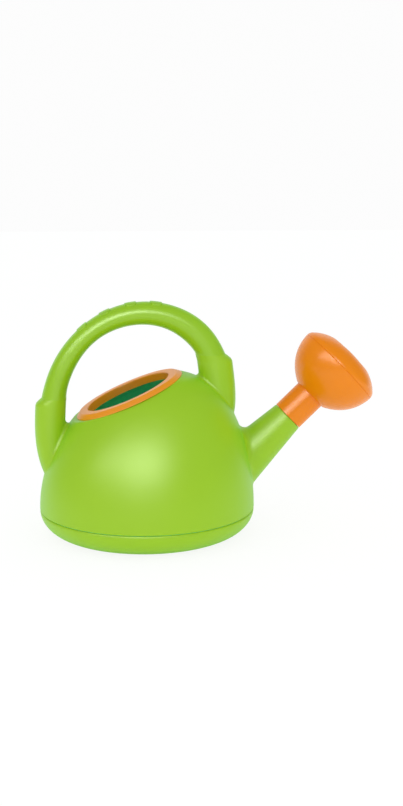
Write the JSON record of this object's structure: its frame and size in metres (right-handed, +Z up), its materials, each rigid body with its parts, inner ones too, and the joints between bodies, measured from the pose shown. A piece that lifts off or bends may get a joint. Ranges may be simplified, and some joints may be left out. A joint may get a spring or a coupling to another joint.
{
  "type": "watering can",
  "caption": "Domed plastic watering can with a hoop handle, a slanted filling mouth with a collar, and a pull-off spray rose on a stub spout.",
  "frame": {"origin": "centre of the flat foot under the base pan", "axes": "+Z is up, +X points from the rear of the handle to the spout, and Y=0 is the can's middle plane"},
  "size_m": [0.2709, 0.172, 0.1855],
  "materials": {
    "green_plastic": "satin moulded",
    "orange_plastic": "satin moulded",
    "seal_rubber": "matte"
  },
  "bodies": {
    "can": {"dome_shell": "green_plastic", "base_pan": "green_plastic", "handle_left_half": "green_plastic", "handle_right_half": "green_plastic", "fill_collar": "orange_plastic"},
    "seal": {"rose_seal": "seal_rubber"},
    "rose": {"rose_bell": "orange_plastic", "rose_face": "orange_plastic"}
  },
  "joints": [
    {"name": "rose_pull", "type": "slide", "parent": "can", "child": "seal", "axis": [0.7206, 0, 0.6934], "range_m": [0, 0.03]},
    {"name": "rose_twist", "type": "hinge", "parent": "seal", "child": "rose", "pos_m": [0.11435, 0, 0.09075], "axis": [0.7206, 0, 0.6934], "continuous": true}
  ]
}
